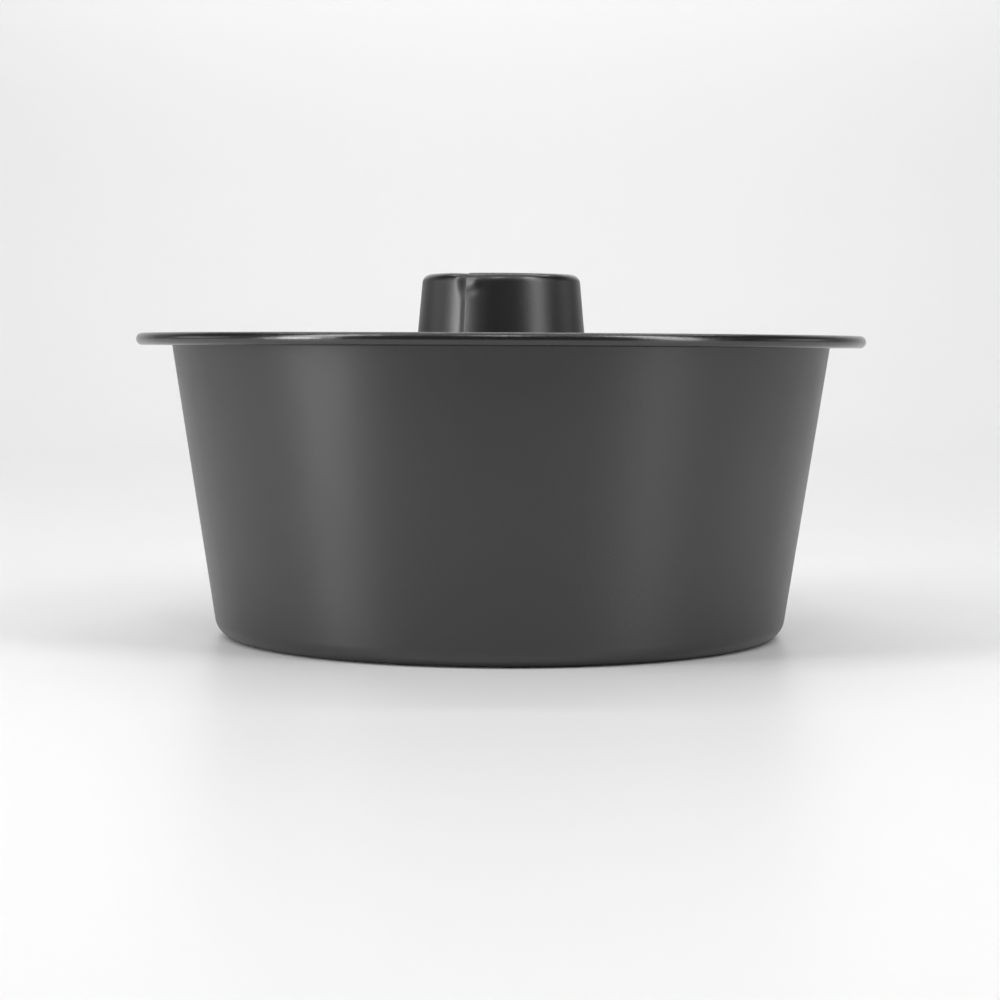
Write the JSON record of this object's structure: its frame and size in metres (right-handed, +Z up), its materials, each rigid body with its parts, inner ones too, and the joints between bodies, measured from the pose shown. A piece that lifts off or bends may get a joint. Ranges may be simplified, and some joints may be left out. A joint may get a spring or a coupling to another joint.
{
  "type": "angel food cake pan",
  "caption": "Round tube cake pan of coated sheet steel: a tapered ring with a curled brim, and a lift-out base that carries a tapered centre tube open at both ends.",
  "frame": {"origin": "middle of the pan on the plane it stands on", "axes": "+Z up along the centre tube, -Y the front that the picture shows, +X to the right seen from the front"},
  "size_m": [0.26, 0.26, 0.1292],
  "materials": {
    "coated_steel": "satin dark charcoal non-stick coating with a fine grain",
    "wire_steel": "drawn wire"
  },
  "bodies": {
    "pan": {"pan_shell": "coated_steel", "rim_wire": "wire_steel"},
    "lift_out_base": {"base_plate": "coated_steel", "centre_tube": "coated_steel"}
  },
  "joints": [
    {"name": "base_lift", "type": "slide", "parent": "pan", "child": "lift_out_base", "axis": [0, 0, 1], "range_m": [0, 0.12]}
  ]
}
